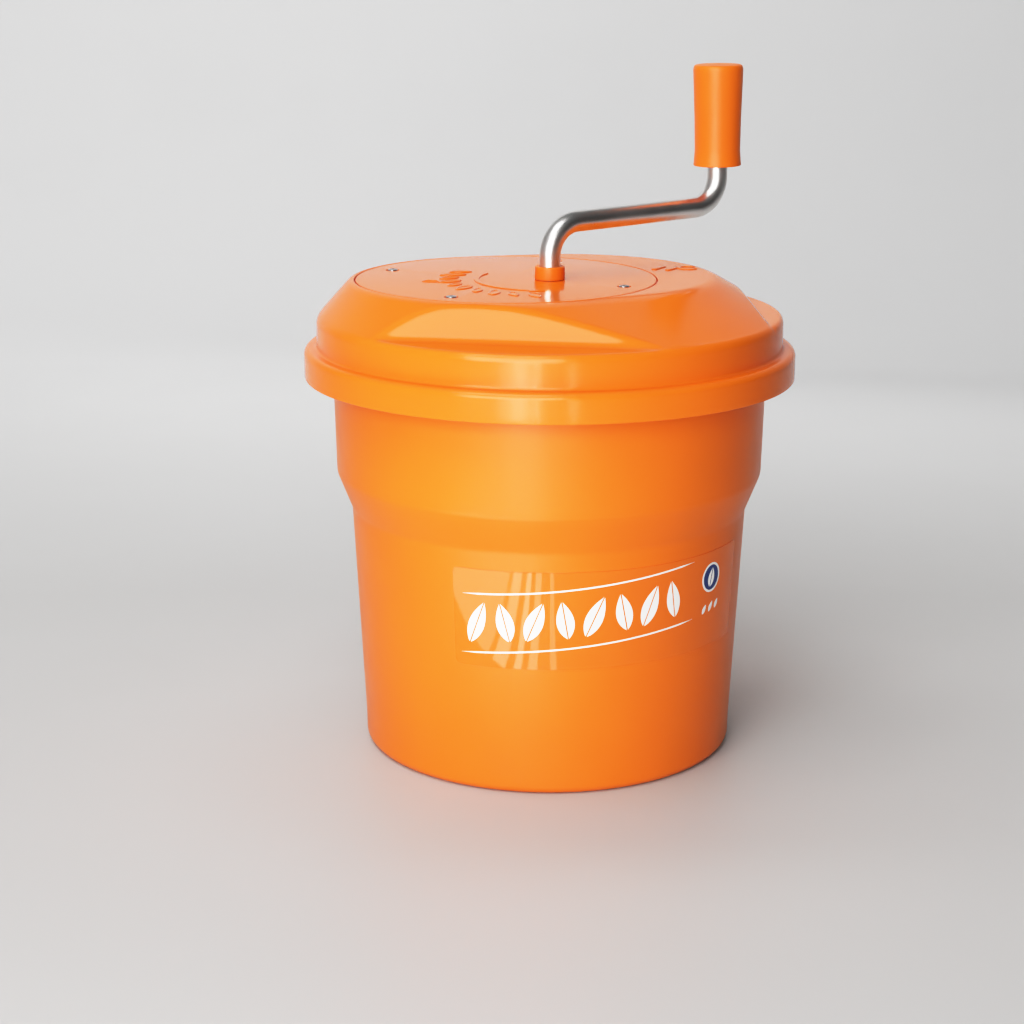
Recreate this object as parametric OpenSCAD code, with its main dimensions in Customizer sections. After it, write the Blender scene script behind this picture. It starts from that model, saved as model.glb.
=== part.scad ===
// Large hand-cranked salad spinner: tub, slotted basket on a turning hub,
// basket lid, and a geared lid with a cranked tube and a turning grip.
// Frame: origin at the centre of the tub's underside, +Z up, -Y to the front.
// All sizes in millimetres.

/* [Tub] */
// Outer radius of the tub at its base
tub_base_r = 165; // [160:0.5:168]
// Outer radius at the bottom of the shoulder
tub_waist_r = 175.1; // [173:0.1:177]
// Height of the bottom of the shoulder
tub_waist_z = 215.6; // [205:0.2:225]
// Outer radius at the top of the shoulder
tub_shoulder_r = 188; // [186:0.5:189]
// Height of the top of the shoulder
tub_shoulder_z = 248.3; // [242:0.1:262]
// Outer radius just under the rim
tub_rim_r = 190.3; // [189.5:0.1:192]
// Wall thickness of the tub
tub_wall = 3; // [2.5:0.1:3.5]
// Height of the tub's rim
tub_top_z = 352; // [350:0.5:352]

/* [Lid] */
// Outer radius of the lid's skirt
skirt_r = 215; // [213:0.5:220]
// Height of the skirt's lower edge
skirt_z = 332.7; // [326:0.1:336]
// Height of the step above the skirt
step_z = 358.3; // [357.5:0.1:360]
// Radius of the tier above the step
tier_r = 203.8; // [202.5:0.1:205]
// Height of the ledge on top of the tier
ledge_z = 386.5; // [385:0.5:388]
// Wall thickness of the lid
lid_wall = 3; // [2.5:0.1:3.2]
// Distance of the front facet's foot from the axis
front_facet_d = 161.5; // [158:0.5:166]
// Distance of the right facet's foot from the axis
right_facet_d = 182; // [178:0.5:190]
// Slope of the front facet from the horizontal
front_facet_slope = 52; // [50:1:56]
// Slope of the right facet from the horizontal
right_facet_slope = 55; // [50:1:72]

/* [Cover plate] */
// Radius of the round cover plate
plate_r = 131.7; // [130:0.1:132]
// Radius of its screw circle
plate_screw_r = 111; // [109.5:0.5:112]
// Thickness of the cover plate
plate_t = 4; // [3.5:0.1:4.2]

/* [Gears] */
// Teeth on the crank gear
z_crank = 40; // [40:4:40]
// Teeth on the idler's small gear
z_idler_small = 20; // [20:4:20]
// Teeth on the idler's large gear
z_idler_large = 36; // [36:4:36]
// Teeth on the output pinion
z_output = 24; // [24:4:24]
// Gear module
gear_m = 3; // [2.9:0.05:3]
// Flank relief on each side of a tooth
flank_relief = 0.16; // [0.12:0.01:0.22]

/* [Crank] */
// Diameter of the crank tube
tube_d = 18.5; // [18:0.1:19]
// Height of the crank arm where it leaves the axis
arm_z = 463.4; // [458:0.1:475]
// Rise of the arm and lean of the grip
arm_rise = 1; // [0:0.1:2]
// Distance from the crank's axis to the grip's
throw = 188; // [160:1:195]
// Direction of the arm, anticlockwise from the right
arm_az = 36; // [0:1:90]
// Centreline radius of the lower bend
bend1_r = 29; // [26:0.5:32]
// Centreline radius of the upper bend
bend2_r = 26.4; // [24:0.2:30]
// Length of the grip
grip_len = 91; // [85:1:96]
// Largest diameter of the grip
grip_d = 45; // [42:0.5:48]

/* [Basket] */
// Outer radius of the basket's floor
basket_base_r = 150; // [144:0.5:152]
// Outer radius of the basket under its rim
basket_top_r = 171; // [168:0.5:172]
// Height of the basket's rim
basket_top_z = 326; // [325.5:0.1:326]
// Slots round the basket in one tier
basket_slots = 36; // [28:4:40]
// Width of one slot
slot_w = 5; // [3.5:0.5:6]

/* [Label] */
// Lower edge of the film on the tub
label_z0 = 114; // [100:1:125]
// Upper edge of the film on the tub
label_z1 = 199.5; // [180:0.5:205]

/* [Hidden] */
$fn = 64;
orange = "#f0812a";
steel = "#c9cdd1";
white = "#efeee8";

top_z = ledge_z + 28.8;            // flat top of the lid
plate_c = [-38.4, 5.4];            // centre of the cover plate
plate_z = top_z - plate_t;         // underside of the cover plate
ring_t = 4;                        // ring of the shell under the plate
ring_z = plate_z - ring_t;
case_r = 118;                      // gear case, outside
case_z = 366;                      // underside of its floor
case_t = 3;
facet_az = -99;
facet2_az = 3.5;

// gear layers
pin_z = 373;                       // output pinion and large idler gear
up_z = 387;                        // crank gear and small idler gear
face_w = 10;
idler_d = gear_m * (z_crank + z_idler_small) / 2;
idler_az = 190;
idler_p = [idler_d * cos(idler_az), idler_d * sin(idler_az)];
shaft_r = 5;
tube_r = tube_d / 2;
fit = 0.03;                        // seat of one fixed piece in another
run = 0.06;                        // radial running clearance

// ---------- helpers ----------
function arc(cx, cz, r, a0, a1, n = 8) =
    [for (i = [0:n]) [cx + r * cos(a0 + (a1 - a0) * i / n),
                      cz + r * sin(a0 + (a1 - a0) * i / n)]];

module tube_z(ro, ri, z0, z1) {
    translate([0, 0, z0]) difference() {
        cylinder(r = ro, h = z1 - z0);
        translate([0, 0, -1]) cylinder(r = ri, h = z1 - z0 + 2);
    }
}

// involute tooth outline
function inv(rho, rb) = let(a = acos(min(1, rb / rho))) tan(a) * 180 / PI - a;
function half_ang(rho, r, rb) =
    let(r1 = max(rho, rb))
    90 * gear_m / (2 * r) * (1 - 4 * flank_relief / (PI * gear_m)) * 2 / 2
    + inv(r, rb) - inv(r1, rb);
function gear_pts(n) =
    let(r = gear_m * n / 2, rb = r * cos(20), ra = r + gear_m,
        rf = r - 1.25 * gear_m, rs = max(rf + 0.3, rb),
        rad = [rf, rs, rs + (ra - rs) * 0.25, rs + (ra - rs) * 0.5,
               rs + (ra - rs) * 0.75, ra])
    [for (k = [0:n - 1]) let(c = 360 * k / n)
        each concat(
            [for (q = rad) [q * cos(c - half_ang(q, r, rb)), q * sin(c - half_ang(q, r, rb))]],
            [for (i = [5:-1:0]) let(q = rad[i])
                [q * cos(c + half_ang(q, r, rb)), q * sin(c + half_ang(q, r, rb))]])];
module gear(n, az) {
    rotate([0, 0, az]) linear_extrude(face_w) polygon(gear_pts(n));
}

// ---------- tub ----------
function tub_out() = concat(
    [[148, 0]],
    arc(tub_base_r - 8.6, 8, 8, -90, 0),
    [[tub_base_r, 20], [tub_waist_r, tub_waist_z], [tub_shoulder_r, tub_shoulder_z],
     [tub_rim_r, tub_top_z - 6], [203, tub_top_z - 5], [203, tub_top_z - 12],
     [205, tub_top_z - 12], [205, tub_top_z - 1], [204, tub_top_z]]);
function tub_in() = concat(
    [[tub_rim_r - tub_wall + 0.5, tub_top_z], [tub_rim_r - tub_wall, tub_top_z - 1],
     [tub_shoulder_r - tub_wall, tub_shoulder_z + 1.2],
     [tub_waist_r - tub_wall, tub_waist_z + 1.2], [tub_base_r - tub_wall, 20]],
    arc(tub_base_r - tub_wall - 9, 15.5, 9, 0, -90),
    [[25, 6.5], [24, 7.5], [24, 20], [6 + fit, 20], [6 + fit, 5.8], [11.2, 5.8],
     [11.2, 2.5], [146, 2.5]]);
module tub() {
    color(orange) rotate_extrude($fn = 180) polygon(concat(tub_out(), tub_in()));
}
module pivot_pin() {
    color(steel) rotate_extrude() polygon([[0, 2.6], [11, 2.6], [11, 5.6], [6, 5.6],
        [6, 45], [5.4, 45], [5.4, 46.1], [6, 46.1], [6, 48], [4.8, 49.2], [0, 49.2]]);
}
module pivot_washer() { color(white) tube_z(14, 6.15, 20, 21.2); }
module pivot_clip() {
    color(steel) translate([0, 0, 45.05]) linear_extrude(1) difference() {
        circle(r = 9);
        circle(r = 5.45);
        translate([0, -2]) square([12, 4]);
    }
}
label_r = function(z) tub_base_r + (z - 20) * (tub_waist_r - tub_base_r) / (tub_waist_z - 20) + 0.05;
module label_film() {
    color([1, 1, 1, 0.35]) rotate([0, 0, -117]) rotate_extrude(angle = 95, $fn = 180)
        polygon([[label_r(label_z0), label_z0], [label_r(label_z0) + 0.35, label_z0],
                 [label_r(label_z1) + 0.35, label_z1], [label_r(label_z1), label_z1]]);
}

// ---------- turning hub ----------
hub_sq = 30;
module pivot_hub() {
    color(white) difference() {
        union() {
            translate([0, 0, 21.4]) cylinder(r = 34, h = 6);
            translate([-hub_sq / 2, -hub_sq / 2, 27.3]) cube([hub_sq, hub_sq, 16.5]);
        }
        translate([0, 0, 20]) cylinder(r = 9, h = 30);
        for (a = [0:60:300]) rotate([0, 0, a + 15]) translate([27, 0, 20]) cylinder(r = 3.5, h = 10);
    }
}
module hub_bush() { color("#b08a4a") tube_z(9 - fit, 6 + run, 21.4, 44); }

// ---------- basket ----------
function bk_r(z) = basket_base_r + (basket_top_r - basket_base_r) * (z - 28) / (basket_top_z - 32);
bk_t = 2.5;
module basket_blank() {
    rotate_extrude($fn = 144) polygon(concat(
        [[26.5, 27.5], [146, 27.5], [148, 25], [151, 25], [bk_r(33), 33],
         [bk_r(basket_top_z - 4), basket_top_z - 4], [177, basket_top_z - 4],
         [177, basket_top_z], [bk_r(basket_top_z) - bk_t, basket_top_z],
         [bk_r(34) - bk_t, 34]],
        arc(bk_r(34) - bk_t - 4, 34.5, 4, 0, -90, 5),
        [[28, 30.5], [27, 32], [26, 53], [23, 56], [0, 57], [0, 51], [14, 51],
         [14, 46.5], [26.5, 46.5]]));
}
module basket() {
    color(white) difference() {
        union() {
            basket_blank();
            translate([0, 0, 27.5]) cylinder(r = 26.6, h = 20);
        }
        translate([-hub_sq / 2 - 0.3, -hub_sq / 2 - 0.3, 26]) cube([hub_sq + 0.6, hub_sq + 0.6, 20.5]);
        translate([0, 0, 40]) cylinder(r = 14, h = 11);
        // side slots, each bar opens two opposite ones
        for (t = [0:3], a = [0:basket_slots / 2 - 1])
            rotate([0, 0, (a + (t % 2) / 2) * 360 / basket_slots])
                translate([-200, -slot_w / 2, 62 + 63 * t]) cube([400, slot_w, 52]);
        // floor slots
        for (a = [0:23]) rotate([0, 0, a * 15 + 7.5]) {
            translate([92, -slot_w / 2, 20]) cube([46, slot_w, 20]);
            if (a % 2 == 0) translate([42, -slot_w / 2, 20]) cube([42, slot_w, 20]);
        }
        // notches for the basket lid's tabs
        for (a = [45:90:315]) rotate([0, 0, a]) translate([165, -8, basket_top_z - 3]) cube([20, 16, 10]);
    }
}

// ---------- basket lid ----------
bl_z = basket_top_z + 0.2;
module basket_lid() {
    color(orange) difference() {
        union() {
            rotate_extrude($fn = 144) polygon([[0, bl_z - 10], [24, bl_z - 10], [25, bl_z],
                [163.5, bl_z], [163.5, bl_z - 6], [166, bl_z - 6], [166, bl_z], [176.5, bl_z],
                [177, bl_z + 0.5], [177, bl_z + 2.3], [176, bl_z + 3], [30, bl_z + 3],
                [27, bl_z + 9], [26, bl_z + 10], [0, bl_z + 10]]);
            for (a = [45:90:315]) rotate([0, 0, a]) translate([169, -7, bl_z - 2.8]) cube([7, 14, 3.5]);
            for (a = [0:45:315]) rotate([0, 0, a]) translate([26, -1.5, bl_z + 2.5]) cube([125, 3, 4]);
        }
        translate([0, 0, bl_z - 7]) cylinder(r = 20, h = 20);
        for (a = [0:31]) rotate([0, 0, a * 11.25 + 5.6]) {
            translate([105, -2.5, bl_z - 1]) cube([50, 5, 5]);
            if (a % 2 == 0) translate([55, -2.5, bl_z - 1]) cube([42, 5, 5]);
        }
    }
}
sp_sq = 16;
module drive_socket() {
    color(white) difference() {
        translate([0, 0, bl_z - 7]) cylinder(r = 20 - fit, h = 17.5);
        translate([-sp_sq / 2 - 0.3, -sp_sq / 2 - 0.3, bl_z - 4.5])
            cube([sp_sq + 0.6, sp_sq + 0.6, 30]);
    }
}

// ---------- lid ----------
function lid_profile() = concat(
    [[skirt_r - lid_wall, skirt_z], [skirt_r - 0.6, skirt_z], [skirt_r, skirt_z + 0.6]],
    arc(skirt_r - 6, step_z - 6, 6, 0, 90, 6),
    [[tier_r + 1.2, step_z], [tier_r + 0.3, step_z + 0.6], [tier_r, step_z + 2]],
    arc(tier_r - 4.6, ledge_z - 4, 4, 0, 90, 6),
    [[0, ledge_z], [0, ledge_z - lid_wall], [tier_r - 7, ledge_z - lid_wall],
     [tier_r - 4, ledge_z - lid_wall - 3], [tier_r - lid_wall, step_z],
     [182, step_z], [182, 341], [184.5, 341], [184.5, step_z - lid_wall],
     [skirt_r - lid_wall - 2, step_z - lid_wall], [skirt_r - lid_wall, step_z - lid_wall - 2]]);

// top outline of the dome: two circles joined, inset by o
module top_outline(o, z) {
    translate([plate_c[0], plate_c[1], z - 0.8]) cylinder(r = 137 - o, h = 0.8, $fn = 96);
    translate([16, 27, z - 0.8]) cylinder(r = 130 - o, h = 0.8, $fn = 96);
}
module facet_cut(az, d, o, slope) {
    rotate([0, 0, az]) translate([d - o, 0, ledge_z]) rotate([0, slope - 90, 0])
        translate([0, -300, -150]) cube([200, 600, 250]);
}
module dome(o, z0, z1) {
    difference() {
        hull() {
            translate([0, 0, z0]) cylinder(r = 201.5 - 1.5 * o, h = 1.2, $fn = 96);
            top_outline(o, z1);
        }
        facet_cut(facet_az, front_facet_d, o, front_facet_slope);
        facet_cut(facet2_az, right_facet_d, o, right_facet_slope);
    }
}
module lid_shell() {
    color(orange) difference() {
        union() {
            difference() {
                union() {
                    rotate_extrude($fn = 180) polygon(lid_profile());
                    dome(0, ledge_z - 1, top_z);
                }
                difference() {
                    dome(lid_wall, ledge_z - 8, plate_z);
                    // ring that carries the cover plate
                    translate([plate_c[0], plate_c[1], ring_z]) cylinder(r = 133.5, h = 10);
                }
            }
        }
        // seat and opening under the plate
        translate([plate_c[0], plate_c[1], plate_z]) cylinder(r = plate_r + 0.5, h = 10);
        translate([plate_c[0], plate_c[1], ring_z - 5]) cylinder(r = 104, h = 15);
        plate_screw_places() translate([0, 0, ring_z - 2]) cylinder(r = 2.1, h = 8);
        case_screw_places() translate([0, 0, ring_z - 2]) cylinder(r = 1.85, h = 5.2);
    }
}
module plate_screw_places()
    for (a = [67, 157, 247, 337]) translate([plate_c[0], plate_c[1], 0])
        rotate([0, 0, a]) translate([plate_screw_r, 0, 0]) children();
module case_screw_places()
    for (a = [30:60:330]) translate([plate_c[0], plate_c[1], 0])
        rotate([0, 0, a]) translate([123.5, 0, 0]) children();

module lid_seal() { color("#d8d6cf") tube_z(200, 192, tub_top_z + 0.1, step_z - lid_wall); }

module cover_plate() {
    color(orange) difference() {
        union() {
            translate([plate_c[0], plate_c[1], plate_z]) cylinder(r = plate_r, h = plate_t, $fn = 180);
            translate([0, 0, plate_z - 8]) cylinder(r = 20, h = 9);
        }
        translate([0, 0, plate_z - 10]) cylinder(r = 12.5, h = 20);
        plate_screw_places() translate([0, 0, plate_z - 1]) cylinder(r = 2.15, h = 8);
        plate_screw_places() translate([0, 0, top_z - 2.6]) cylinder(r1 = 2.2, r2 = 4.9, h = 2.7);
    }
}
module cover_screws() {
    color(steel) plate_screw_places() difference() {
        translate([0, 0, top_z - 14]) rotate_extrude() polygon([[0, 0], [1.4, 0], [2, 1.2],
            [2, 11.5], [4.6, 14.05], [4.3, 14.6], [2.6, 15.1], [0, 15.3]]);
        translate([-2.6, -0.5, top_z - 0.4]) cube([5.2, 1, 3]);
        translate([-0.5, -2.6, top_z - 0.4]) cube([1, 5.2, 3]);
    }
}
module gear_case() {
    color(white) difference() {
        union() {
            translate([plate_c[0], plate_c[1], 0]) rotate_extrude($fn = 144) polygon(concat(
                [[0, case_z], [case_r - 3, case_z]], arc(case_r - 3, case_z + 3, 3, -90, 0, 4),
                [[case_r, ring_z - 4.5], [case_r + 0.5, ring_z - 4], [129, ring_z - 4], [129, ring_z],
                 [case_r - case_t, ring_z], [case_r - case_t, case_z + case_t], [0, case_z + case_t]]));
            translate([0, 0, case_z - 3]) cylinder(r = 18, h = 9.3);
            translate([idler_p[0], idler_p[1], case_z - 3]) cylinder(r = 12, h = 8.5);
            for (a = [0:40:320]) rotate([0, 0, a + 8]) translate([16, -1.5, case_z - 2.4]) cube([54, 3, 3.5]);
        }
        translate([0, 0, case_z - 10]) cylinder(r = 12, h = 30);
        translate([idler_p[0], idler_p[1], case_z - 10]) cylinder(r = shaft_r + fit, h = 30);
        case_screw_places() translate([0, 0, ring_z - 6]) cylinder(r = 2.05, h = 8);
    }
}
module case_screws() {
    color(steel) case_screw_places() {
        translate([0, 0, ring_z - 6.2]) cylinder(r = 3.9, h = 2.2);
        translate([0, 0, ring_z - 4.1]) cylinder(r = 1.8, h = 7);
    }
}
module crank_bush() { color(white) tube_z(12.5 - fit, tube_r + run, plate_z - 8, top_z); }
module spindle_bush() { color(white) tube_z(12 - fit, 9 + run, case_z - 3, case_z + 6.6); }
module idler_shaft() {
    color(steel) translate([idler_p[0], idler_p[1], 0]) rotate_extrude() polygon([[0, case_z - 3],
        [5, case_z - 3], [5, 399.5], [4.4, 399.5], [4.4, 400.7], [5, 400.7], [5, 402], [4, 403], [0, 403]]);
}
module idler_washer() { color(steel) translate([idler_p[0], idler_p[1], 0]) tube_z(9, 5.1, case_z + 5.6, case_z + 6.6); }
module idler_clip() {
    color(steel) translate([idler_p[0], idler_p[1], 399.6]) linear_extrude(1) difference() {
        circle(r = 8);
        circle(r = 4.45);
        translate([0, -2]) square([10, 4]);
    }
}

// ---------- gear train ----------
module drive_spindle() {
    color(steel) difference() {
        union() {
            translate([-sp_sq / 2, -sp_sq / 2, 324]) cube([sp_sq, sp_sq, 37]);
            translate([0, 0, 360.5]) cylinder(r = 14, h = 2.2);
            translate([0, 0, 362]) cylinder(r = 9, h = pin_z - 362);
            translate([0, 0, pin_z - 1]) cylinder(r = 7, h = 13.2);
        }
        tube_z(12, 6.4, pin_z + face_w + 0.1, pin_z + face_w + 1.2);
        // chamfered lower end
        for (a = [0:90:270]) rotate([0, 0, a]) translate([sp_sq / 2, -20, 322])
            rotate([0, -45, 0]) cube([10, 40, 10], center = false);
    }
}
module output_pinion() {
    color(white) translate([0, 0, pin_z]) difference() {
        gear(z_output, idler_az + 180 / z_output);
        translate([0, 0, -1]) cylinder(r = 7 + fit, h = 20);
    }
}
module spindle_clip() {
    color(steel) translate([0, 0, pin_z + face_w + 0.15]) linear_extrude(1) difference() {
        circle(r = 10.5);
        circle(r = 6.45);
        translate([0, -2]) square([12, 4]);
    }
}
module idler_gear() {
    color(white) translate([idler_p[0], idler_p[1], 0]) difference() {
        union() {
            translate([0, 0, pin_z]) gear(z_idler_large, idler_az + 180);
            translate([0, 0, pin_z]) cylinder(r = 14, h = up_z + face_w - pin_z);
            translate([0, 0, up_z]) gear(z_idler_small, idler_az + 180 + 180 / z_idler_small);
        }
        translate([0, 0, pin_z - 1]) cylinder(r = 8, h = 40);
        for (a = [0:60:300]) rotate([0, 0, a]) translate([32, 0, pin_z - 1]) cylinder(r = 9, h = 12);
    }
}
module idler_bush() { color("#b08a4a") translate([idler_p[0], idler_p[1], 0]) tube_z(8 - fit, shaft_r + run, pin_z, up_z + face_w + 1.5); }

// ---------- crank ----------
// the tube's path lies in the plane of the arm
lean = arm_rise;
t1 = tan((90 - lean) / 2) * bend1_r;
t2 = bend2_r;
module arm_frame() rotate([0, 0, arm_az]) children();
// grip frame: its own z runs along the leaning upper leg, from the arm's height
grip_x = throw;
grip_z = arm_z + throw * tan(lean);
module grip_frame() arm_frame() translate([grip_x, 0, grip_z]) rotate([0, -lean, 0]) children();
lap = 1;
// An elbow is a hair thinner than the rods and runs on into them
module elbow(rb, r, a0, a1) {
    x = lap / rb * 180 / PI;
    rotate([90, 0, 0]) rotate([0, 0, a0 - x])
        rotate_extrude(angle = a1 - a0 + 2 * x, $fn = 96) translate([rb, 0]) circle(r = r - 0.04, $fn = 48);
}
module tube_path(r, ext) {
    // lower leg
    translate([0, 0, up_z - ext]) cylinder(r = r, h = arm_z - t1 - up_z + ext);
    arm_frame() translate([bend1_r, 0, arm_z - t1]) elbow(bend1_r, r, 90 + lean, 180);
    // arm, along its own direction
    arm_frame() translate([0, 0, arm_z]) rotate([0, 90 - lean, 0]) translate([0, 0, t1])
        cylinder(r = r, h = throw / cos(lean) - t2 - t1);
    grip_frame() translate([-bend2_r, 0, bend2_r]) elbow(bend2_r, r, -90, 0);
    // upper leg
    grip_frame() translate([0, 0, t2]) cylinder(r = r, h = tube_top - t2 + ext);
}
grip_z0 = 36.5;                       // grip's lower end above the arm, along the leg
tube_top = grip_z0 + 66;
module crank_tube() {
    color(steel) difference() {
        tube_path(tube_r, 0);
        tube_path(tube_r - 1.5, 1);
        // cross hole for the gear's pin
        translate([0, 0, up_z + 12.7]) rotate([90, 0, 0]) cylinder(r = 1.8, h = 60, center = true);
    }
}
module crank_collar() {
    color(orange) rotate_extrude($fn = 72) polygon(concat([[tube_r + fit, top_z + 0.3], [12.6, top_z + 0.3],
        [13, top_z + 0.7]], arc(11.5, top_z + 10.2, 1.5, 0, 90, 4), [[tube_r + fit, top_z + 11.7]]));
}
module crank_washer() { color(steel) tube_z(15, tube_r + 0.15, up_z + 15.15, up_z + 16.1); }
module crank_gear() {
    color(white) difference() {
        union() {
            translate([0, 0, up_z]) gear(z_crank, idler_az);
            translate([0, 0, up_z]) cylinder(r = 17, h = 15);
        }
        translate([0, 0, up_z - 1]) cylinder(r = tube_r + fit, h = 20);
        for (a = [0:60:300]) rotate([0, 0, a + 30]) translate([36, 0, up_z - 1]) cylinder(r = 11, h = 12);
        translate([0, 0, up_z + 12.7]) rotate([90, 0, 0]) cylinder(r = 1.8, h = 60, center = true);
    }
}
module crank_pin() { color(steel) translate([0, 0, up_z + 12.7]) rotate([90, 0, 0]) cylinder(r = 1.77, h = 33, center = true); }
module grip_clip() {
    color(steel) grip_frame() tube_z(tube_r + 2.4, tube_r + fit, tube_top - 4, tube_top - 3);
}
module grip_bush() {
    color(white) grip_frame() tube_z(tube_r + 2.9, tube_r + run, grip_z0 + 1.5, tube_top - 4.3);
}
grip_r = grip_d / 2;
gb = tube_r + 2.9 + fit;
module grip() {
    color(orange) grip_frame() translate([0, 0, grip_z0]) rotate_extrude($fn = 96) polygon(concat(
        [[tube_r + 0.6, 0], [grip_r - 2.4, 0], [grip_r - 1.4, 0.8], [grip_r - 1.2, 2.2], [grip_r - 1.9, 5.5],
         [grip_r - 1.9, 14], [grip_r - 1.4, 45], [grip_r, grip_len - 8]],
        arc(grip_r - 5, grip_len - 7.6, 5, 0, 75, 6),
        [[grip_r - 10, grip_len - 1], [0, grip_len], [0, tube_top - grip_z0 + 3],
         [gb, tube_top - grip_z0 + 3], [gb, 1.3], [tube_r + 0.6, 1.3]]));
}

tub();
pivot_pin();
pivot_washer();
pivot_clip();
label_film();
pivot_hub();
hub_bush();
basket();
basket_lid();
drive_socket();
lid_shell();
lid_seal();
gear_case();
case_screws();
cover_plate();
cover_screws();
crank_bush();
spindle_bush();
idler_shaft();
idler_washer();
idler_clip();
drive_spindle();
output_pinion();
spindle_clip();
idler_gear();
idler_bush();
crank_tube();
crank_collar();
crank_washer();
crank_gear();
crank_pin();
grip_clip();
grip_bush();
grip();
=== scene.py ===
import math

import bmesh
import bpy
import numpy as np
from mathutils import Matrix, Vector

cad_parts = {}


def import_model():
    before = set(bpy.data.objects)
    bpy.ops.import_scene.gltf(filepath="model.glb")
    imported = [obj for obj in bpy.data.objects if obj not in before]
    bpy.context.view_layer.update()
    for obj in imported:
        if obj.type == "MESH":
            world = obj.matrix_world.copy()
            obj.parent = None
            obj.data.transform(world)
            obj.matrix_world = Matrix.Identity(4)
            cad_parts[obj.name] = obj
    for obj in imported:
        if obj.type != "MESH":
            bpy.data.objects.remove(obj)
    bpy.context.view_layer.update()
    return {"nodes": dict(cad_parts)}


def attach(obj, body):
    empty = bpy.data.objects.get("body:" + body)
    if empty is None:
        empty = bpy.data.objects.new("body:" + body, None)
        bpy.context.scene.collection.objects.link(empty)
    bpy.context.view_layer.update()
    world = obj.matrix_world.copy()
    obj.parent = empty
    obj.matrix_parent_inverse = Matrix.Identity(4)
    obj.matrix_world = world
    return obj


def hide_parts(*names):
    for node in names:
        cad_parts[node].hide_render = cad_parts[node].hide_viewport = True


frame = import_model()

NODE = frame["nodes"]
MM = 0.001
TAU = 2 * math.pi

# sizes shared with the CAD model, in millimetres
TIER_R, LEDGE, TOP = 203.8, 386.5, 415.3
STEP, SKIRT_R, SKIRT_Z = 358.3, 215.0, 332.7
PC = (-38.4, 5.4)
PLATE_R = 131.7
THROW, ARM_AZ, LEAN = 188.0, 36.0, 1.0
ARM_Z, B1, B2, TUBE_R = 463.4, 29.0, 26.4, 9.25
GRIP_Z0, GRIP_LEN, GRIP_R = 36.5, 91.0, 22.5


# ------------------------------------------------------------------ materials
def new_mat(name):
    m = bpy.data.materials.new(name)
    m.use_nodes = True
    nt = m.node_tree
    nt.nodes.clear()
    out = nt.nodes.new("ShaderNodeOutputMaterial")
    bsdf = nt.nodes.new("ShaderNodeBsdfPrincipled")
    nt.links.new(bsdf.outputs[0], out.inputs[0])
    return m, nt, bsdf


def coords(nt, scale=(1, 1, 1), rot=(0, 0, 0)):
    tc = nt.nodes.new("ShaderNodeTexCoord")
    mp = nt.nodes.new("ShaderNodeMapping")
    mp.inputs["Scale"].default_value = scale
    mp.inputs["Rotation"].default_value = rot
    nt.links.new(tc.outputs["Object"], mp.inputs["Vector"])
    return mp.outputs["Vector"]


def noise(nt, vec, scale, detail=3.0, rough=0.55, dist=0.0):
    n = nt.nodes.new("ShaderNodeTexNoise")
    n.inputs["Scale"].default_value = scale
    n.inputs["Detail"].default_value = detail
    n.inputs["Roughness"].default_value = rough
    n.inputs["Distortion"].default_value = dist
    nt.links.new(vec, n.inputs["Vector"])
    return n.outputs["Fac"]


def span(nt, fac, a, b, lo=0.3, hi=0.7):
    r = nt.nodes.new("ShaderNodeMapRange")
    r.inputs["From Min"].default_value = lo
    r.inputs["From Max"].default_value = hi
    r.inputs["To Min"].default_value = a
    r.inputs["To Max"].default_value = b
    nt.links.new(fac, r.inputs["Value"])
    return r.outputs["Result"]


def ramp(nt, fac, stops):
    r = nt.nodes.new("ShaderNodeValToRGB")
    els = r.color_ramp.elements
    while len(els) < len(stops):
        els.new(0.5)
    for el, (pos, col) in zip(els, stops):
        el.position = pos
        el.color = (*col, 1)
    nt.links.new(fac, r.inputs["Fac"])
    return r.outputs["Color"]


def math_node(nt, op, a, b):
    n = nt.nodes.new("ShaderNodeMath")
    n.operation = op
    for i, v in enumerate((a, b)):
        if isinstance(v, (int, float)):
            n.inputs[i].default_value = v
        else:
            nt.links.new(v, n.inputs[i])
    return n.outputs[0]


def bump(nt, bsdf, height, strength, distance=0.001, chain=None):
    b = nt.nodes.new("ShaderNodeBump")
    b.inputs["Strength"].default_value = strength
    b.inputs["Distance"].default_value = distance
    nt.links.new(height, b.inputs["Height"])
    if chain is not None:
        nt.links.new(chain, b.inputs["Normal"])
    nt.links.new(b.outputs["Normal"], bsdf.inputs["Normal"])
    return b.outputs["Normal"]


def shade(c, k):
    return tuple(min(1.0, x * k) for x in c)


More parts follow.
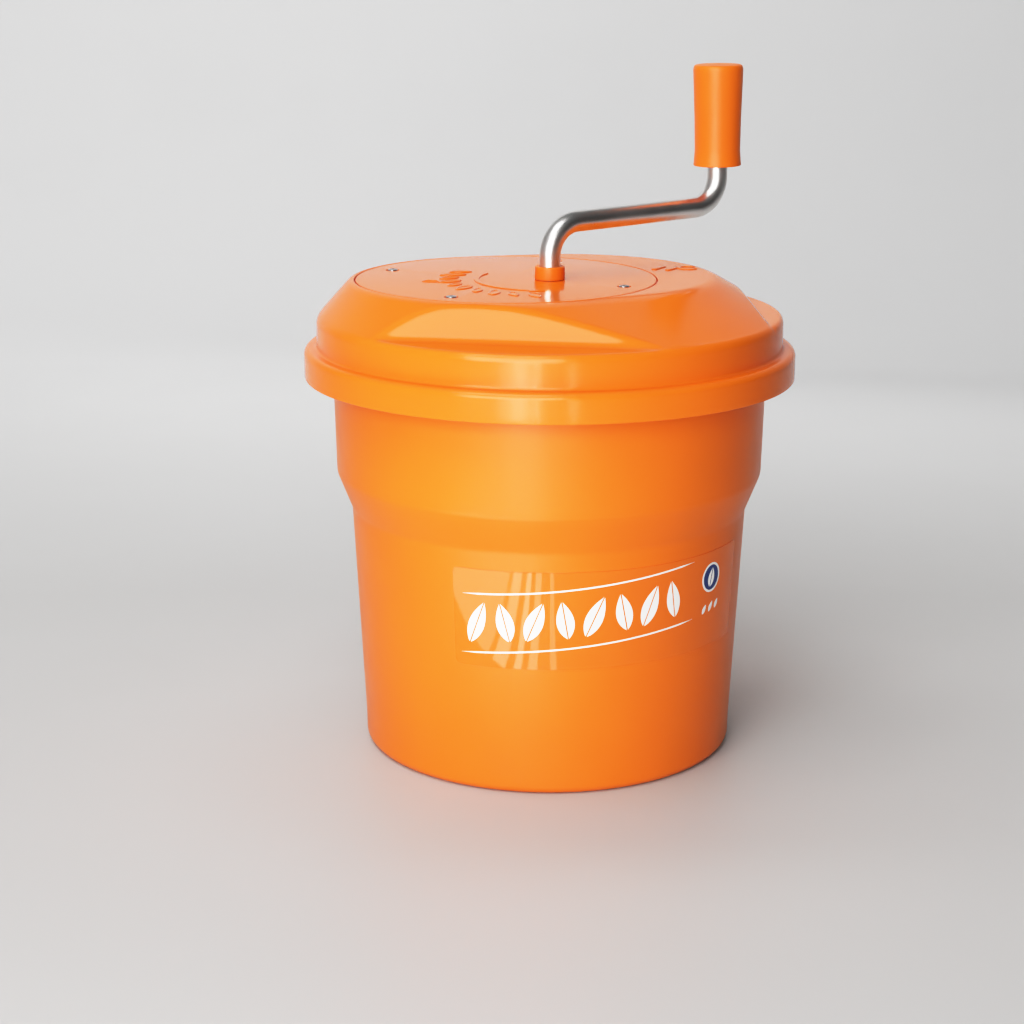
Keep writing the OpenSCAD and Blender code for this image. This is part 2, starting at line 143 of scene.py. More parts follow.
def moulded(name, base, rough, spread=0.05, grain=0.10, streak=0.0, scuff=0.0):
    """Injection-moulded plastic: slow colour drift, a fine grain, faint vertical flow marks and handling scuffs."""
    m, nt, b = new_mat(name)
    v = coords(nt)
    drift = noise(nt, v, 7.0, 2.0)
    col = ramp(nt, drift, [(0.25, shade(base, 0.955)), (0.75, shade(base, 1.035))])
    nt.links.new(col, b.inputs["Base Color"])
    fine = noise(nt, v, 900.0, 2.0, 0.6)
    broad = noise(nt, v, 26.0, 3.0, 0.6)
    r = span(nt, broad, rough - spread, rough + spread)
    if streak > 0:
        vs = coords(nt, (1, 1, 0.02))
        st = noise(nt, vs, 42.0, 4.0, 0.65)
        r = math_node(nt, "ADD", r, span(nt, st, -streak, streak))
    if scuff > 0:
        vs = coords(nt, (1, 1, 1), (0.4, 0.2, 0.8))
        w = noise(nt, coords(nt, (9, 260, 60), (0.1, 0.3, 0.6)), 3.2, 4.0, 0.75, 0.4)
        r = math_node(nt, "ADD", r, span(nt, w, 0.0, scuff, 0.66, 0.74))
    nt.links.new(r, b.inputs["Roughness"])
    n1 = bump(nt, b, fine, grain, 0.0001)
    if streak > 0:
        bump(nt, b, st, 0.10, 0.0012, n1)
    else:
        bump(nt, b, broad, 0.05, 0.0010, n1)
    b.inputs["IOR"].default_value = 1.47
    b.inputs["Specular IOR Level"].default_value = 0.42
    return m


def metal(name, base, rough, along=(1, 1, 1), grain=0.12, scale=900.0, spread=0.06):
    """Satin steel with fine drawn lines."""
    m, nt, b = new_mat(name)
    lines = noise(nt, coords(nt, along), scale, 3.0, 0.7)
    blot = noise(nt, coords(nt), 34.0, 3.0)
    nt.links.new(ramp(nt, blot, [(0.3, shade(base, 0.93)), (0.7, shade(base, 1.04))]), b.inputs["Base Color"])
    r = math_node(nt, "ADD", span(nt, lines, rough - spread, rough + spread), span(nt, blot, -0.03, 0.03))
    nt.links.new(r, b.inputs["Roughness"])
    b.inputs["Metallic"].default_value = 1.0
    bump(nt, b, lines, grain, 0.00012)
    return m


ORANGE = (0.86, 0.190, 0.016)
mat_tub = moulded("tub_plastic", ORANGE, 0.32, 0.03, 0.08)
mat_lid = moulded("lid_plastic", ORANGE, 0.17, 0.02, 0.04, scuff=0.06)
mat_plate = moulded("plate_plastic", ORANGE, 0.13, 0.02, 0.04, scuff=0.10)
mat_plate.node_tree.nodes["Principled BSDF"].inputs["Specular IOR Level"].default_value = 0.30
mat_grip = moulded("grip_plastic", ORANGE, 0.37, 0.03, 0.10)
mat_inner = moulded("inner_lid_plastic", shade(ORANGE, 0.97), 0.36, 0.04, 0.12)
mat_white = moulded("white_plastic", (0.80, 0.79, 0.74), 0.38, 0.04, 0.15)
mat_nylon = moulded("nylon", (0.74, 0.70, 0.58), 0.42, 0.06, 0.25)
mat_seal = moulded("seal_rubber", (0.62, 0.60, 0.56), 0.70, 0.05, 0.35)
mat_steel = metal("satin_tube", (0.88, 0.865, 0.85), 0.33, (1, 1, 1), 0.10, 1400.0, 0.04)
mat_screw = metal("turned_steel", (0.60, 0.60, 0.60), 0.26, (1, 1, 8), 0.10, 900.0)
mat_bronze = metal("bronze", (0.60, 0.40, 0.19), 0.33, (1, 1, 8), 0.15, 700.0)


def film_material():
    m, nt, b = new_mat("clear_film_on_tub")
    v = coords(nt)
    drift = noise(nt, v, 9.0, 2.0)
    nt.links.new(ramp(nt, drift, [(0.25, shade(ORANGE, 0.93)), (0.75, shade(ORANGE, 1.0))]), b.inputs["Base Color"])
    ripple = noise(nt, coords(nt, (1, 1, 0.25)), 30.0, 3.0, 0.5)
    nt.links.new(span(nt, ripple, 0.03, 0.07), b.inputs["Roughness"])
    bump(nt, b, ripple, 0.12, 0.0012)
    b.inputs["IOR"].default_value = 1.5
    return m


def ink(name, base, rough=0.22):
    m, nt, b = new_mat(name)
    v = coords(nt)
    sp = noise(nt, v, 60.0, 3.0)
    nt.links.new(ramp(nt, sp, [(0.25, shade(base, 0.96)), (0.75, base)]), b.inputs["Base Color"])
    nt.links.new(span(nt, sp, rough - 0.03, rough + 0.05), b.inputs["Roughness"])
    bump(nt, b, noise(nt, v, 1200.0), 0.05, 0.00005)
    return m


mat_film = film_material()
mat_ink = ink("white_ink", (0.93, 0.92, 0.90))
mat_blue = ink("blue_ink", (0.025, 0.05, 0.20))


# ------------------------------------------------------------------ mesh tools
def obj(name, verts, faces, mat, angle=38.0):
    """A mesh from points in millimetres."""
    me = bpy.data.meshes.new(name)
    me.from_pydata([tuple(v) for v in (np.asarray(verts, float) * MM)], [], [tuple(int(i) for i in f) for f in faces])
    me.validate()
    bm = bmesh.new()
    bm.from_mesh(me)
    bmesh.ops.recalc_face_normals(bm, faces=bm.faces)
    bm.to_mesh(me)
    bm.free()
    me.shade_smooth()
    if angle:
        me.set_sharp_from_angle(angle=math.radians(angle))
    o = bpy.data.objects.new(name, me)
    bpy.context.scene.collection.objects.link(o)
    me.materials.append(mat)
    return o


def loft(loops, closed=True, cap=False):
    """Quads between rings of the same number of points. closed joins the last ring to the first; cap fills the two end rings."""
    n = len(loops[0])
    V = np.concatenate(loops)
    F = []
    m = len(loops)
    j = np.arange(n)
    for i in range(m if closed else m - 1):
        a, b = i * n, ((i + 1) % m) * n
        for k in range(n):
            k2 = (k + 1) % n
            F.append((a + k, a + k2, b + k2, b + k))
    if cap and not closed:
        c0, c1 = len(V), len(V) + 1
        V = np.concatenate([V, [loops[0].mean(0)], [loops[-1].mean(0)]])
        for k in range(n):
            k2 = (k + 1) % n
            F.append((c0, k2, k))
            F.append((c1, (m - 1) * n + k, (m - 1) * n + k2))
    return V, F


def rounded(pts, closed=True, seg=6):
    """Polygon with rounded corners: each point is (x, z) or (x, z, radius)."""
    n, out = len(pts), []
    for i, p in enumerate(pts):
        r = p[2] if len(p) > 2 else 0
        if r <= 0 or (not closed and i in (0, n - 1)):
            out.append((p[0], p[1]))
            continue
        P = np.array(p[:2], float)
        A = np.array(pts[(i - 1) % n][:2], float) - P
        B = np.array(pts[(i + 1) % n][:2], float) - P
        la, lb = np.linalg.norm(A), np.linalg.norm(B)
        A, B = A / la, B / lb
        ang = math.acos(max(-1, min(1, float(A @ B))))
        if ang > math.pi - 0.02:
            out.append((p[0], p[1]))
            continue
        d = min(r / math.tan(ang / 2), la * 0.49, lb * 0.49)
        rr = d * math.tan(ang / 2)
        bis = (A + B) / np.linalg.norm(A + B)
        C = P + bis * rr / math.sin(ang / 2)
        s, e = P + A * d - C, P + B * d - C
        a0, a1 = math.atan2(s[1], s[0]), math.atan2(e[1], e[0])
        da = (a1 - a0 + math.pi) % TAU - math.pi
        k = max(2, int(seg * abs(da) / (math.pi / 2)) + 1)
        for q in range(k + 1):
            a = a0 + da * q / k
            out.append((C[0] + rr * math.cos(a), C[1] + rr * math.sin(a)))
    return out


def dense(prof, step):
    """Long straight stretches get points in between, so shading stays even."""
    out = []
    for a, b in zip(prof, prof[1:]):
        n = max(1, int(math.hypot(b[0] - a[0], b[1] - a[1]) / step))
        out += [(a[0] + (b[0] - a[0]) * i / n, a[1] + (b[1] - a[1]) * i / n) for i in range(n)]
    return out + [prof[-1]]


def ring(r, z, n, c=(0, 0)):
    a = np.arange(n) * TAU / n
    return np.c_[c[0] + r * np.cos(a), c[1] + r * np.sin(a), np.full(n, float(z))]


def lathe(name, prof, n, mat, c=(0, 0), closed=True, angle=38.0, cap=False):
    """Turns a profile of (r, z) about the vertical through c. Ends on the axis close with a fan."""
    loops = [ring(max(r, 0.0), z, n, c) for r, z in prof]
    if closed:
        V, F = loft(loops, True)
        return obj(name, V, F, mat, angle)
    start, end = prof[0][0] < 1e-6, prof[-1][0] < 1e-6
    body = loops[1 if start else 0: len(loops) - 1 if end else len(loops)]
    V, F = loft(body, False)
    m = len(body)
    if start:
        V = np.concatenate([V, [[c[0], c[1], prof[0][1]]]])
        F += [(len(V) - 1, (k + 1) % n, k) for k in range(n)]
    if end:
        V = np.concatenate([V, [[c[0], c[1], prof[-1][1]]]])
        F += [(len(V) - 1, (m - 1) * n + k, (m - 1) * n + (k + 1) % n) for k in range(n)]
    return obj(name, V, F, mat, angle)


def slab(name, top, bottom, mat, angle=38.0):
    """A closed thin solid from two grids of the same shape (rows, columns, 3)."""
    m, n = top.shape[:2]
    V = np.concatenate([top.reshape(-1, 3), bottom.reshape(-1, 3)])
    F, o = [], m * n
    for i in range(m - 1):
        for k in range(n - 1):
            a, b, c, d = i * n + k, i * n + k + 1, (i + 1) * n + k + 1, (i + 1) * n + k
            F += [(a, b, c, d), (o + d, o + c, o + b, o + a)]
    edge = [(0, k) for k in range(n)] + [(i, n - 1) for i in range(1, m)] \
        + [(m - 1, k) for k in range(n - 2, -1, -1)] + [(i, 0) for i in range(m - 2, 0, -1)]
    ids = [i * n + k for i, k in edge]
    for a, b in zip(ids, ids[1:] + ids[:1]):
        F.append((b, a, o + a, o + b))
    return obj(name, V, F, mat, angle)


def join(name, parts):
    """Joins separate pieces of one kind into one object."""
    bpy.ops.object.select_all(action="DESELECT")
    for p in parts:
        p.select_set(True)
    bpy.context.view_layer.objects.active = parts[0]
    bpy.ops.object.join()
    parts[0].name = name
    parts[0].data.name = name
    return parts[0]


def put(o, body, slot, *nodes):
    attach(o, body)
    if nodes:
        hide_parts(*nodes)
    return o


# ------------------------------------------------------------------ camera
cam_data = bpy.data.cameras.new("camera")
cam_data.lens = 77.864
cam_data.sensor_width = 36.0
cam_data.clip_end = 50
cam = bpy.data.objects.new("camera", cam_data)
F = Vector((-0.016431, 0.966048, -0.25784))
R = Vector((0.999847, 0.017413, 0.001523))
U = Vector((-0.005961, 0.257776, 0.966186))
M = Matrix((R, U, -F)).transposed().to_4x4()
M.translation = Vector((0.0, -1.92044, 0.71736))
cam.matrix_world = M
bpy.context.scene.collection.objects.link(cam)
bpy.context.scene.camera = cam

# ------------------------------------------------------------------ tub
tub_outer = [(146.5, 2.5), (148, 0.0, 0.8), (165.0 - 0.3, 0.0, 7.5), (165.0, 20), (175.1, 215.6, 16),
             (188.0, 248.3, 18), (190.3, 345.0, 3), (203.0, 347.0, 1.0), (203.0, 340.0, 0.6), (205.0, 340.0, 0.8),
             (205.0, 352.0, 1.2)]
tub_inner = [(187.8, 352.0, 1.0), (187.3, 345.0), (185.1, 249.5, 16), (172.2, 217.0, 16), (162.2, 24.0),
             (161.6, 6.5, 12), (25.0, 6.5, 2.0), (24.0, 20.0, 0.8), (6.05, 20.0, 0.4), (6.05, 5.8), (11.2, 5.8), (11.2, 2.5, 0.4)]
prof = rounded(tub_outer + tub_inner, True, 10)
prof = dense(prof + [prof[0]], 9.0)[:-1]
tub = lathe("tub_body", prof, 360, mat_tub)
put(tub, "tub", "orange_satin", "tub")


# ------------------------------------------------------------------ lid
def smin(a, b, k):
    h = np.clip(0.5 + 0.5 * (b - a) / k, 0, 1)
    return b * (1 - h) + a * h - k * h * (1 - h)


def smax(a, b, k):
    return -smin(-a, -b, k)


PHI = np.arange(1440) * TAU / 1440
NX, NY = np.cos(PHI), np.sin(PHI)


def dome(x, y, o=0.0, soft=1.0):
    """Height of the lid's top over (x, y), for the outside or, inset by o, for the inside."""
    x, y = np.asarray(x, float), np.asarray(y, float)
    top, low = TOP - (4.0 if o else 0.0), LEDGE - (3.0 if o else 0.0)
    h0 = 201.5 - 1.5 * o
    h1 = np.maximum(PC[0] * NX + PC[1] * NY + 137 - o, 16 * NX + 27 * NY + 130 - o)
    hull = np.full(x.shape, 1e9)
    for i in range(len(PHI)):
        z = low + (top - low) * (h0 - (x * NX[i] + y * NY[i])) / (h0 - h1[i])
        hull = np.minimum(hull, z)
    z = smin(hull, np.full(x.shape, top), 3.2 * soft)
    # each facet runs out onto the ledge in a fillet, and meets the slope in a soft edge
    for az, d, slope, kt, kf in ((-99.0, 161.5, 52, 4.5, 6.5), (3.5, 182.0, 55, 3.0, 2.5)):
        n = (math.cos(math.radians(az)), math.sin(math.radians(az)))
        f = LEDGE + (d - o - (x * n[0] + y * n[1])) * math.tan(math.radians(slope))
        z = smin(z, smax(f, np.full(x.shape, low), kf * soft), kt * soft)
    return smax(z, np.full(x.shape, low), 2.0 * soft)


N = 720
ang = np.arange(N) * TAU / N
CA, SA = np.cos(ang), np.sin(ang)


def loop_at(t, r):
    cx, cy = PC[0] * (1 - t), PC[1] * (1 - t)
    return cx + r * CA, cy + r * SA


loops = []


def add(x, y, z):
    loops.append(np.c_[x, y, np.broadcast_to(z, x.shape)])


# seat of the cover plate
for r in (104.0, 118.0):
    x, y = loop_at(0, r)
    add(x, y, 411.3)
x, y = loop_at(0, 132.6)
z0 = dome(x, y)
add(x, y, np.full(N, 411.3))
for r, dz in ((132.6, -1.0), (132.68, -0.55), (132.9, -0.22), (133.2, -0.04)):
    x, y = loop_at(0, r)
    add(x, y, dome(x, y) + dz)
# top, slopes and facets
G = 130
for i in range(G + 1):
    t = i / G
    r = 133.4 + (199.0 - 133.4) * t
    x, y = loop_at(t, r)
    add(x, y, dome(x, y))
# rounded edge from the slope into the tier's wall
x0, y0 = loop_at(1, 199.0)
z0 = dome(x0, y0)
x1, y1 = loop_at(1, 198.0)
slope = dome(x1, y1) - z0
P0 = np.c_[np.full(N, 199.0), z0]
P1 = np.c_[np.full(N, 203.75), np.maximum(z0 - slope * 4.75, 380.8)]
P2 = np.c_[np.full(N, 203.8), np.full(N, 379.5)]
for i in range(1, 11):
    s = i / 10
    Q = (1 - s) ** 2 * P0 + 2 * s * (1 - s) * P1 + s * s * P2
    loops.append(np.c_[Q[:, 0] * CA, Q[:, 0] * SA, Q[:, 1]])
wall = rounded([(203.8, 379.5), (204.0, 358.6, 2.4), (215.0, 358.2, 6.0), (215.0, 332.9, 0.8), (212.0, 332.7, 0.5),
                (212.0, 355.3, 2.5), (184.5, 355.3, 1.5), (184.5, 341.2, 0.6), (182.0, 341.0, 0.6), (182.0, 358.3, 1.5),
                (200.8, 358.3, 2.0), (200.6, 383.3, 3.5), (198.0, 383.5)], False, 8)
for r, z in dense(wall, 6.0)[1:]:
    loops.append(np.c_[r * CA, r * SA, np.full(N, z)])
for i in range(25):
    t = 1 - i / 24
    r = 133.8 + (197.0 - 133.8) * t
    x, y = loop_at(t, r)
    add(x, y, np.maximum(dome(x, y, 3.0) - 0.0, 383.5 - 0.0) if t > 0 else 407.3)
for r in (126.0, 104.0):
    x, y = loop_at(0, r)
    add(x, y, 407.3)
V, Fc = loft(loops, True)
lid = obj("lid_outer_shell", V, Fc, mat_lid, 42.0)
put(lid, "lid", "orange_gloss", "lid_shell")

# ------------------------------------------------------------------ cover plate
pz = 411.35
# the boss is on the crank's axis and the disc on the plate's own, so they are two turned bodies
disc = lathe("plate_disc", rounded([(0.0, pz), (131.4, pz, 0.3), (131.7, TOP, 0.9), (0.0, TOP)], False, 8), 360, mat_plate, PC, closed=False)
boss = lathe("plate_boss", rounded([(0.0, pz - 7.9), (20.0, pz - 7.9, 0.8), (20.0, pz + 1.0), (0.0, pz + 1.0)], False, 5), 96, mat_plate, (0, 0), closed=False)


def cut(o, cutters):
    for c in cutters:
        md = o.modifiers.new("cut", "BOOLEAN")
        md.operation = "DIFFERENCE"
        md.solver = "EXACT"
        md.object = c
    bpy.context.view_layer.update()
    dg = bpy.context.evaluated_depsgraph_get()
    me = bpy.data.meshes.new_from_object(o.evaluated_get(dg))
    old = o.data
    o.modifiers.clear()
    o.data = me
    bpy.data.meshes.remove(old)
    for c in cutters:
        bpy.data.objects.remove(c)
    o.data.set_sharp_from_angle(angle=math.radians(38))
    return o


def weld_on(o, other):
    md = o.modifiers.new("add", "BOOLEAN")
    md.operation = "UNION"
    md.solver = "EXACT"
    md.object = other
    bpy.context.view_layer.update()
    dg = bpy.context.evaluated_depsgraph_get()
    me = bpy.data.meshes.new_from_object(o.evaluated_get(dg))
    o.modifiers.clear()
    o.data = me
    bpy.data.objects.remove(other)
    return o


SCREWS = [(PC[0] + 111 * math.cos(math.radians(a)), PC[1] + 111 * math.sin(math.radians(a))) for a in (67, 157, 247, 337)]
plate = weld_on(disc, boss)
cutters = []
for i, c in enumerate(SCREWS):
    cutters.append(lathe(f"cutter{i}", rounded([(0.0, 405.0), (2.4, 405.0), (2.4, TOP - 2.3), (5.6, TOP - 2.0, 0.5), (5.9, TOP - 0.3), (6.8, TOP + 1.0), (0.0, TOP + 1.0)], False, 4), 40, mat_plate, c, closed=False))
cutters.append(lathe("cutter_c", [(0.0, 395.0), (12.55, 395.0), (12.55, 420.0), (0.0, 420.0)], 72, mat_plate, (0, 0), closed=False))
plate = cut(plate, cutters)
plate.name = plate.data.name = "plate_top"
put(plate, "lid", "orange_gloss", "cover_plate")


# low raised marks on the lid: a turning arrow, an oval and a plain sign
def arc_bar(name, c, r, w, a0, a1, z, h, mat, heads=True):
    """A raised curved bar with an arrow head at its end."""
    n = 60
    A = np.radians(np.linspace(a0, a1, n))
    prof = [(-w / 2, 0), (-w / 2, h * 0.55), (-w / 2 + h * 0.45, h), (w / 2 - h * 0.45, h), (w / 2, h * 0.55), (w / 2, 0)]
    parts = []
    L = []
    for a in A:
        L.append(np.array([[c[0] + (r + u) * math.cos(a), c[1] + (r + u) * math.sin(a), z + v - 0.05] for u, v in prof]))
    V, Fq = loft(L, False, True)
    parts.append(obj(name, V, Fq, mat))
    if heads:
        a = A[-1]
        s = 1 if a1 > a0 else -1
        er = np.array([math.cos(a), math.sin(a)])
        et = s * np.array([-math.sin(a), math.cos(a)])
        tri = [(-w * 1.5, -0.5), (w * 1.5, -0.5), (0, w * 2.6)]
        cen = np.array([0, w * 0.65])
        lo, mid, hi = [], [], []
        for u, v in tri:
            for k, lst, zz in ((1.0, lo, 0), (1.0, mid, h * 0.55), (0.90, hi, h)):
                q = cen + (np.array([u, v]) - cen) * k
                P = np.array(c) + (r + q[0]) * er + q[1] * et
                lst.append([P[0], P[1], z + zz - 0.05])
        V, Fq = loft([np.array(lo), np.array(mid), np.array(hi)], False, True)
        parts.append(obj(name + "_head", V, Fq, mat))
    return parts


marks = arc_bar("turn_arrow", (0, 0), 64.0, 4.6, 152, 256, TOP, 0.8, mat_plate)
for i, a_deg in enumerate(np.linspace(154, 262, 10)):
    # a row of low raised leaves round the arrow
    a = math.radians(a_deg)
    er, et = np.array([math.cos(a), math.sin(a)]), np.array([-math.sin(a), math.cos(a)])
    tl = math.radians(24 if i % 2 else 34)
    e1, e2 = math.cos(tl) * er + math.sin(tl) * et, -math.sin(tl) * er + math.cos(tl) * et
    ln, wd = (24.0, 10.5) if i % 2 else (20.0, 9.0)
    t = np.arange(44) * TAU / 44
    rings = []
    for k, zz in ((1.0, -0.05), (0.985, 0.45), (0.90, 0.72), (0.62, 0.78), (0.56, 0.45), (0.10, 0.40)):
        u = ln / 2 * np.cos(t) * (1 - (1 - k) * 0.6)
        v = wd / 2 * np.sign(np.sin(t)) * np.abs(np.sin(t)) ** 1.35 * k
        P = 88.0 * er + u[:, None] * e1 + v[:, None] * e2
        rings.append(np.c_[P, np.full(44, TOP + zz)])
    V, Fq = loft(rings, False, True)
    marks.append(obj(f"raised_leaf{i}", V, Fq, mat_plate))
oval = []
for k, zz in ((1.0, -0.05), (1.0, 0.4), (0.9, 0.7), (0.72, 0.7), (0.66, 0.15), (0.2, 0.15)):
    a = np.arange(48) * TAU / 48
    oval.append(np.c_[-103 + 8.0 * k * np.cos(a), -15 + 5.0 * k * np.sin(a), np.full(48, TOP + zz)])
V, Fq = loft(oval, False, True)
marks.append(obj("oval_mark", V, Fq, mat_plate))
marks = join("plate_marks", marks)
put(marks, "lid", "orange_gloss")


def pill(name, c, az, length, w, z, h, mat):
    """A low raised bar with round ends."""
    n = 24
    out = []
    a = np.radians(az)
    e1, e2 = np.array([math.cos(a), math.sin(a)]), np.array([-math.sin(a), math.cos(a)])
    for k, zz in ((0.0, -0.05), (0.0, h * 0.5), (0.35, h * 0.9), (0.8, h)):
        rr = w / 2 - k * h
        pts = []
        for i in range(n):
            t = TAU * i / n
            u, v = rr * math.cos(t), rr * math.sin(t)
            u += (length - w) / 2 * (1 if math.cos(t) > 0 else -1)
            pts.append([*(np.array(c) + u * e1 + v * e2), z + zz])
        out.append(np.array(pts))
    V, Fq = loft(out, False, True)
    return obj(name, V, Fq, mat)


sign = [pill("sign_a", (98, 66), 60, 22, 5.0, TOP, 0.9, mat_lid), pill("sign_b", (110, 62), 60, 22, 5.0, TOP, 0.9, mat_lid)]
sign += arc_bar("sign_c", (124, 68), 8.0, 3.6, 40, 330, TOP - 0.2, 1.0, mat_lid, False)
sign = join("lid_sign", sign)
put(sign, "lid", "orange_gloss")

# ------------------------------------------------------------------ crank
az = math.radians(ARM_AZ)
ax = np.array([math.cos(az), math.sin(az)])
s = math.radians(LEAN)
t1 = math.tan((math.pi / 2 - s) / 2) * B1
path = [(0.0, z) for z in np.linspace(388, ARM_Z - t1, 10)]
C1 = (B1, ARM_Z - t1)
for q in np.linspace(math.pi, math.pi / 2 + s, 29)[1:]:
    path.append((C1[0] + B1 * math.cos(q), C1[1] + B1 * math.sin(q)))
gz = ARM_Z + THROW * math.tan(s)
d, u = np.array([math.cos(s), math.sin(s)]), np.array([-math.sin(s), math.cos(s)])
K = np.array([THROW, gz])
e = K - B2 * d
st = np.array(path[-1])
path += [tuple(st + (e - st) * i / 24) for i in range(1, 25)]
C2 = K - B2 * d + B2 * u
for q in np.linspace(-math.pi / 2, 0, 27)[1:]:
    path.append(tuple(C2 + B2 * math.cos(q) * d + B2 * math.sin(q) * u))
st = np.array(path[-1])
e = K + u * (GRIP_Z0 + 65.5)
path += [tuple(st + (e - st) * i / 10) for i in range(1, 11)]
path = np.array(path)
T = np.gradient(path, axis=0)
T /= np.linalg.norm(T, axis=1)[:, None]
nn = 56
a = np.arange(nn) * TAU / nn
loops = []
side = np.array([-ax[1], ax[0], 0.0])
# a round section of the tube's radius is swept along the bent path
for (px, pz_), (tx, tz) in zip(path, T):
    nrm = np.array([-tz * ax[0], -tz * ax[1], tx])
    c = np.array([px * ax[0], px * ax[1], pz_])
    loops.append(c + TUBE_R * (np.cos(a)[:, None] * nrm + np.sin(a)[:, None] * side))
V, Fq = loft(loops, False, True)
tube = obj("bent_tube", V, Fq, mat_steel, 50)
put(tube, "crank", "steel_tube", "crank_tube")

collar = lathe("collar", rounded([(TUBE_R + 0.05, TOP + 0.3), (13.2, TOP + 0.3, 0.5), (12.9, TOP + 11.7, 1.6), (TUBE_R + 1.2, TOP + 11.7, 0.5), (TUBE_R + 0.05, TOP + 11.2)], True, 7), 96, mat_grip)
put(collar, "crank", "orange_gloss", "crank_collar")

# ------------------------------------------------------------------ grip
gp = rounded([(TUBE_R + 0.6, 1.3), (TUBE_R + 0.6, 0.0, 0.3), (GRIP_R - 0.9, 0.0, 0.5), (GRIP_R - 1.1, 2.5, 12),
              (GRIP_R - 1.9, 13.0, 40), (GRIP_R - 1.5, 40.0, 200), (GRIP_R + 0.0, GRIP_LEN - 5.0, 3.0), (GRIP_R - 1.0, GRIP_LEN - 1.2, 4.0), (10.0, GRIP_LEN - 0.4, 30), (0.0, GRIP_LEN)], False, 8)
gp = dense(gp, 4.0)
gn = 112
loops = []
for r, z in gp[:-1]:
    loops.append(ring(r, z, gn))
V, Fq = loft(loops, False)
V = np.concatenate([V, [[0, 0, gp[-1][1]]]])
F_top = [(len(V) - 1, (len(loops) - 1) * gn + k, (len(loops) - 1) * gn + (k + 1) % gn) for k in range(gn)]
base_n = len(V)
inner = [ring(r, z, gn) for r, z in ((12.2, 1.3), (12.2, 68.0))]
V = np.concatenate([V, *inner, [[0, 0, 68.0]]])
F_in = []
for k in range(gn):
    k2 = (k + 1) % gn
    F_in.append((k, k2, base_n + k2, base_n + k))
    F_in.append((base_n + k, base_n + k2, base_n + gn + k2, base_n + gn + k))
    F_in.append((base_n + gn + k, base_n + gn + k2, len(V) - 1))
Rm = Matrix.Rotation(az, 4, "Z") @ Matrix.Rotation(-s, 4, "Y")
org = np.array([THROW * ax[0], THROW * ax[1], gz])
Rn = np.array(Rm.to_3x3())
V = (V + np.array([0, 0, GRIP_Z0])) @ Rn.T + org
grip = obj("grip_body", V, Fq + F_top + F_in, mat_grip, 50)
put(grip, "grip", "orange_gloss", "grip")


# ------------------------------------------------------------------ film and print on the tub
def wall_r(z):
    return 165.0 + (z - 20.0) * (175.1 - 165.0) / (215.6 - 20.0)


def on_wall(a_deg, z, off):
    a = np.radians(a_deg)
    r = wall_r(z) + off
    return np.stack([r * np.cos(a), r * np.sin(a), z], -1)


A0, A1, Z0, Z1, CR = -117.0, -22.0, 114.0, 199.5, 5.0
cols = np.concatenate([A0 + np.array([0, .15, .35, .6, .9, 1.25, 1.65]), np.linspace(A0 + 2.2, A1 - 2.2, 110), A1 - np.array([1.65, 1.25, .9, .6, .35, .15, 0])])
dmm = np.minimum(cols - A0, A1 - cols) * math.radians(1) * 170
cutz = np.where(dmm < CR, CR - np.sqrt(np.maximum(CR**2 - (CR - np.minimum(dmm, CR)) ** 2, 0)), 0)
vv = np.linspace(0, 1, 14)
AA = np.repeat(cols[None], 14, 0)
ZZ = (Z0 + cutz)[None] + vv[:, None] * ((Z1 - Z0) - 2 * cutz)[None]
film = slab("film", on_wall(AA, ZZ, 0.36), on_wall(AA, ZZ, 0.06), mat_film)
put(film, "tub", "clear_film", "label_film")

prints = []


def stroke(name, az_z, w, mat):
    """A printed line along points (azimuth, z), with pointed ends."""
    P = np.array(az_z, float)
    aa = np.linspace(P[0, 0], P[-1, 0], 90)
    k = np.polyfit(P[:, 0], P[:, 1], 3)
    zz = np.polyval(k, aa)
    sf = np.clip(np.minimum(np.arange(90), 89 - np.arange(90)) / 6.0, 0.15, 1)
    rows = np.array([-0.5, 0, 0.5])
    Ag = np.repeat(aa[None], 3, 0)
    Zg = zz[None] + rows[:, None] * w * sf[None]
    prints.append(slab(name, on_wall(Ag, Zg, 0.46), on_wall(Ag, Zg, 0.37), mat))


stroke("line_top", [(-114.1, 177.4), (-89.4, 182.6), (-72.8, 187.1), (-54.1, 192.6), (-45.0, 194.9)], 1.5, mat_ink)
stroke("line_low", [(-114.9, 125.0), (-97.7, 129.4), (-80.9, 133.1), (-63.2, 138.7), (-44.3, 143.4)], 1.5, mat_ink)


def leaf(name, a_deg, z, length, width, tilt, mat, off=0.46, split=True):
    """A printed leaf: two pointed halves either side of an open midrib."""
    t = np.linspace(0, 1, 26)
    w = width / 2 * np.sin(math.pi * t ** 0.85) ** 0.8 + 0.02
    th = math.radians(tilt)
    out = []
    rr = wall_r(z)
    for side_ in (-1, 1):
        gap = 0.55 if split else 0.0
        u0 = side_ * gap * np.ones_like(t)
        u1 = side_ * (gap + np.maximum(w - gap, 0.03))
        rows = []
        for f in np.linspace(0, 1, 5):
            uu = u0 * (1 - f) + u1 * f
            ll = (t - 0.5) * length
            X = uu * math.cos(th) + ll * math.sin(th)
            Y = -uu * math.sin(th) + ll * math.cos(th)
            rows.append(np.stack([a_deg + np.degrees(X / rr), z + Y], -1))
        g = np.array(rows)
        if side_ < 0:
            g = g[::-1]
        out.append(slab(name, on_wall(g[..., 0], g[..., 1], off), on_wall(g[..., 0], g[..., 1], off - 0.09), mat))
    return out


